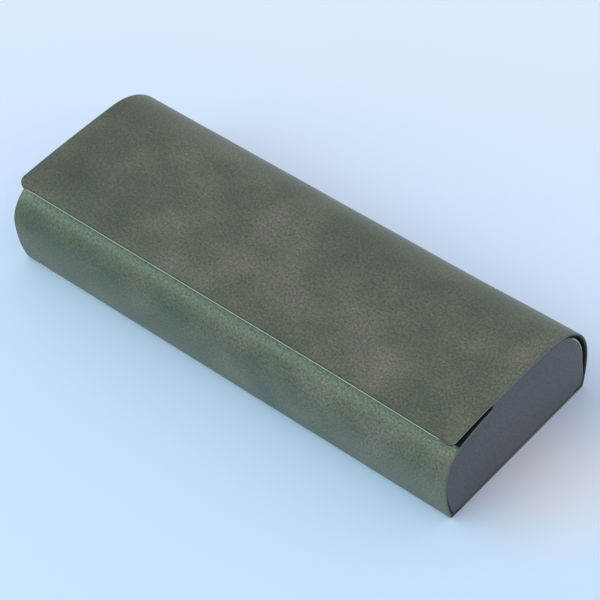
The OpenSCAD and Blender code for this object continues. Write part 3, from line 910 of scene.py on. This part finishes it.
# %% The flap's lining, narrower where it goes down between the end panels
panel_gap = 0.4                              # between this lining and an end panel's
between_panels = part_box("right_end_lining")[0].x / MM - panel_gap
rear_from = 56                               # distance along from which it is the narrower one
lining_low = 3.2                             # it stops at this height, above the fold
flap_lining_table = []
for row, along in flap_rows:
    low_part = along > flap_end - low_reach
    if along < lining_set_back or (low_part and row[1] < lining_low):
        continue
    half = between_panels if along > rear_from else lining_reach
    flap_lining_table.append((row, along, flap_reach(along, along - lining_set_back, half),
                              lining_section(along, flap_thickness(row, along)),
                              *flap_shape(along)))
flap_lining = make_sheet("flap_lining_cloth", flap_lining_table,
                         (lining_cloth, flap_edge, lining_cloth), flap_wave, sag_from)
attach(flap_lining, "flap")
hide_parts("flap_lining")

# %% [markdown]
# ## The end panels, tapes and divider
# An end panel is a board with leather cloth turned in round its edge, so its outer arris is
# softly rounded. The imported solids have the right outline, and a copy of each gets its arrises
# rounded: its doubled points are merged, flat triangles are joined into one face, and the chosen
# edges are bevelled. The bevel takes a material of its own, which turns pale near the rear corner:
# a painted highlight, where the arris catches the light.

# %% The turned edge of an end panel
rear_highlight = (26.5, 30.0)                     # the painted highlight begins and is full, towards the rear, mm
highlight_height = (2, 28)                        # and this is how it grows with the height
low_highlight = 0.45                              # its share near the table


def highlighted_edge_cloth(name, plain_colour, highlight_colour):
    """Leather cloth drawn round an arris, with a painted highlight at the rear corner."""
    material, tree = start_material(name)
    place = add_node(tree, "ShaderNodeTexCoord").outputs["Object"]
    _, y, z = add_node(tree, "ShaderNodeSeparateXYZ", {0: place}).outputs
    at_rear = add_node(tree, "ShaderNodeMapRange",
                       {"Value": y, "From Min": rear_highlight[0] * MM, "From Max": rear_highlight[1] * MM},
                       interpolation_type="SMOOTHSTEP")
    up_high = add_node(tree, "ShaderNodeMapRange",
                       {"Value": z, "From Min": highlight_height[0] * MM,
                        "From Max": highlight_height[1] * MM, "To Min": low_highlight})
    highlit = add_node(tree, MATHS, {0: at_rear, 1: up_high}, operation="MULTIPLY")
    speck = add_node(tree, "ShaderNodeTexNoise", {"Vector": place, "Scale": 1 / (speck_mm * MM)})
    colour = add_node(tree, "ShaderNodeMix",
                      {0: highlit, 6: linear(plain_colour), 7: linear(highlight_colour)},
                      data_type="RGBA").outputs[2]
    bump = add_node(tree, "ShaderNodeBump", {"Height": speck, "Distance": 0.04 * MM})
    shader = add_node(tree, "ShaderNodeBsdfPrincipled",
                      {"Base Color": colour, "Roughness": 0.6, "Normal": bump})
    add_node(tree, "ShaderNodeOutputMaterial", {"Surface": shader})
    return material


turned_edge_highlight = highlighted_edge_cloth("blue_grey_cloth_turned_edge_highlight", "#565a5e", "#cfc6c4")
print("the turned edge is worn behind y", rear_highlight[0], "mm")

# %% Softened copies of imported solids
flat_z = 1.6                                 # below this the end panel's arris stays tight
corner_swell = 0.15                          # the right panel's rear corner is this much fuller
sharp_from = 60                              # edges that turn by this many degrees are arrises


def swell_rear_corner(work, swell):
    """Moves the points of the upper rear corner outwards, most at 45 degrees."""
    for vert in work.verts:
        y, z = vert.co.y / MM + mid_y - bend_arc[0], vert.co.z / MM - bend_arc[1]
        if y > 0 and z > 0:
            bearing = math.atan2(z, y)
            out = swell * MM * math.sin(2 * bearing) ** 2
            vert.co.y += out * math.cos(bearing)
            vert.co.z += out * math.sin(bearing)


def softened(node, name, width_mm, segments, materials, outer_only=False, swell=0):
    """A copy of a CAD node with rounded arrises. The last material is for the arrises."""
    mesh = bpy.data.meshes.new(name)
    work = bmesh.new()
    work.from_mesh(frame["nodes"][node].data)
    bmesh.ops.remove_doubles(work, verts=work.verts, dist=0.002 * MM)
    bmesh.ops.dissolve_limit(work, angle_limit=math.radians(1), verts=work.verts, edges=work.edges)
    if swell:
        swell_rear_corner(work, swell)
    outer_x = max(abs(v.co.x) for v in work.verts)
    chosen = []
    for edge in work.edges:
        if len(edge.link_faces) != 2 or edge.calc_face_angle(0) < math.radians(sharp_from):
            continue
        ends = [v.co for v in edge.verts]
        if outer_only and (any(abs(abs(co.x) - outer_x) > 1e-6 for co in ends)
                           or all(co.z < flat_z * MM for co in ends)):
            continue
        chosen.append(edge)
    for mesh_face in work.faces:
        mesh_face.material_index = 0
    bmesh.ops.bevel(work, geom=chosen, offset=width_mm * MM, segments=segments, profile=0.5,
                    affect="EDGES", clamp_overlap=True, material=len(materials) - 1)
    work.to_mesh(mesh)
    work.free()
    for material in materials:
        mesh.materials.append(material)
    mesh.shade_smooth()
    copy = bpy.data.objects.new(name, mesh)
    bpy.context.scene.collection.objects.link(copy)
    print(name, len(mesh.polygons), "faces,", len(chosen), "edges rounded")
    return copy


# Part, width of the rounding in mm, its steps, materials, slot, and whether only outer arrises
for side in ("left", "right"):
    for part, width, segments, materials, slot, outer in (
            ("end_cover", 0.4, 3, (grey_cloth, turned_edge_highlight), "grey_end_cover", True),
            ("end_lining", 0.06, 1, (lining_cloth,), "lining_cloth", False),
            ("end_tape", 0.05, 1, (lining_cloth,), "lining_cloth", False)):
        node = f"{side}_{part}"
        swell = corner_swell if node == "right_end_cover" else 0
        copy = softened(node, node + "_cloth", width, segments, materials, outer, swell)
        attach(copy, "box")
        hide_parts(node)
sleeve = softened("divider_sleeve", "divider_sleeve_cloth", 0.1, 2, (lining_cloth,))
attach(sleeve, "box")
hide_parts("divider_sleeve")

# %% Boards
for node in ("left_end_board", "right_end_board", "divider_board"):
    slots = frame["nodes"][node].data.materials
    slots.clear()
    slots.append(case_board)
    print(node, "keeps its packed shape")

# %% [markdown]
# ## Camera, floor and light
# The camera stands where the photograph's straight edges say it stood: a long lens, looking down
# at the case from its front right. The floor is matt paper, pale blue in front and greyer towards
# the back, with a paler and warmer patch beside the right end panel: painted light that lifts the
# shadow there. The floor is matt paper, pale blue in front and greyer towards the back, with a
# paler and warmer patch beside the right end panel, where the photo's shadow has that tone. The
# room is evenly bright, with one broad window in front on the left, and a soft lamp on the left
# leaves a faint shadow to the right.

# %% Camera
image_px, focal_px = 600, 2350.28            # picture width and focal length, in pixels
azimuth, elevation, roll = (math.radians(a) for a in (42.785, 46.571, -3.439))
# How far away the camera is, and how far aside and up, in case lengths
distance, shift_r, shift_u = (s * case_l * MM for s in (4.1673, 0.1280, 0.1424))
back = Vector((math.sin(azimuth) * math.cos(elevation), -math.cos(azimuth) * math.cos(elevation),
               math.sin(elevation)))
level_right = (-back).cross(Vector((0, 0, 1))).normalized()
level_up = level_right.cross(-back)
right = math.cos(roll) * level_right + math.sin(roll) * level_up
up = -math.sin(roll) * level_right + math.cos(roll) * level_up
eye = back * distance + shift_r * right + shift_u * up - Vector((0, mid_y * MM, 0))
camera_data = bpy.data.cameras.new("camera")
camera_data.sensor_width = 36
camera_data.lens = focal_px * camera_data.sensor_width / image_px
camera_data.clip_start, camera_data.clip_end = 0.05, 20
camera = bpy.data.objects.new("camera", camera_data)
turn = Matrix((right, up, back)).transposed().to_4x4()
camera.matrix_world = Matrix.Translation(eye) @ turn
bpy.context.scene.collection.objects.link(camera)
bpy.context.scene.camera = camera
print("camera", [round(c, 3) for c in eye], "lens", round(camera_data.lens, 1), "mm")

# %% Floor
FLOOR_STOPS = ((0, "#c3dbf9"), (0.35, "#c3daf8"), (0.7, "#cedcf5"), (1, "#d5ddf2"))
# Painted light: a paler, warmer patch on the floor that lifts the shadow beside the right end panel
painted_light_spot, painted_light_r, painted_light_colour = (0.104, -0.002, 0), 0.046, "#dee0f0"    # metres
paper_turn = azimuth - math.radians(22)      # the way in which the paper's colour changes
paper_half, floor_half = 0.16, 6.0           # half the length of that change, of the floor, m


def pale_paper(name):
    material, tree = start_material(name)
    place = add_node(tree, "ShaderNodeTexCoord").outputs["Object"]
    across = add_node(tree, "ShaderNodeVectorMath",
                      {0: place, 1: (-math.sin(paper_turn), math.cos(paper_turn), 0)},
                      operation="DOT_PRODUCT")
    share = add_node(tree, "ShaderNodeMapRange",
                     {"Value": across.outputs["Value"], "From Min": -paper_half,
                      "From Max": paper_half})
    colour = add_node(tree, "ShaderNodeValToRGB", {"Fac": share})
    set_stops(colour, FLOOR_STOPS)
    away = add_node(tree, "ShaderNodeVectorMath", {0: place, 1: painted_light_spot}, operation="DISTANCE")
    spot = add_node(tree, "ShaderNodeMapRange",
                    {"Value": away.outputs["Value"], "From Max": painted_light_r, "To Min": 1,
                     "To Max": 0}, interpolation_type="SMOOTHSTEP")
    colour = add_node(tree, "ShaderNodeMix", {0: spot, 6: colour, 7: linear(painted_light_colour)},
                      data_type="RGBA").outputs[2]
    shader = add_node(tree, "ShaderNodeBsdfPrincipled",
                      {"Base Color": colour, "Roughness": 0.9, "Specular IOR Level": 0.1})
    add_node(tree, "ShaderNodeOutputMaterial", {"Surface": shader})
    return material


corners = [(-floor_half, -floor_half, 0), (floor_half, -floor_half, 0),
           (floor_half, floor_half, 0), (-floor_half, floor_half, 0)]
floor_mesh = bpy.data.meshes.new("floor")
floor_mesh.from_pydata(corners, [], [(0, 1, 2, 3)])
floor_mesh.materials.append(pale_paper("pale_blue_matt_paper"))
floor = bpy.data.objects.new("floor", floor_mesh)
bpy.context.scene.collection.objects.link(floor)
print("floor", [round(2 * floor_half)] * 2, "m")

# %% Light
room_colour, room_light = "#fffdfc", 0.88
window_colour, window_light = "#d2eee8", 3.1
window_way = Vector((-0.44, -0.66, 0.60)).normalized()
window_rim, window_heart = 0.80, 0.98        # cosines: no window outside, full light inside


def bright_room(name):
    """A world that is even all round, with one broad soft window."""
    world = bpy.data.worlds.new(name)
    world.use_nodes = True
    tree = world.node_tree
    tree.nodes.clear()
    way = add_node(tree, "ShaderNodeTexCoord").outputs["Generated"]
    near = add_node(tree, "ShaderNodeVectorMath", {0: way, 1: window_way},
                    operation="DOT_PRODUCT")
    share = add_node(tree, "ShaderNodeMapRange",
                     {"Value": near.outputs["Value"], "From Min": window_rim,
                      "From Max": window_heart}, interpolation_type="SMOOTHSTEP")
    room = add_node(tree, "ShaderNodeBackground",
                    {"Color": linear(room_colour), "Strength": room_light})
    window = add_node(tree, "ShaderNodeBackground",
                      {"Color": linear(window_colour), "Strength": window_light})
    both = add_node(tree, "ShaderNodeMixShader", {0: share, 1: room, 2: window})
    add_node(tree, "ShaderNodeOutputWorld", {"Surface": both})
    return world


def soft_lamp(name, place, size, power, colour):
    """An area lamp that looks at the case."""
    data = bpy.data.lights.new(name, "AREA")
    data.shape, data.size, data.energy = "DISK", size, power
    data.color = linear(colour)[:3]
    lamp = bpy.data.objects.new(name, data)
    lamp.location = place
    lamp.rotation_mode = "QUATERNION"
    lamp.rotation_quaternion = (-Vector(place)).to_track_quat("-Z", "Y")
    bpy.context.scene.collection.objects.link(lamp)
    return lamp


scene = bpy.context.scene
scene.world = bright_room("soft_room")
lamp = soft_lamp("left_lamp", (-1.6, -0.4, 1.7), size=1.3, power=5, colour="#ffffff")
scene.view_settings.view_transform = "Standard"
print("one lamp of", lamp.data.energy, "W and a window in the room")
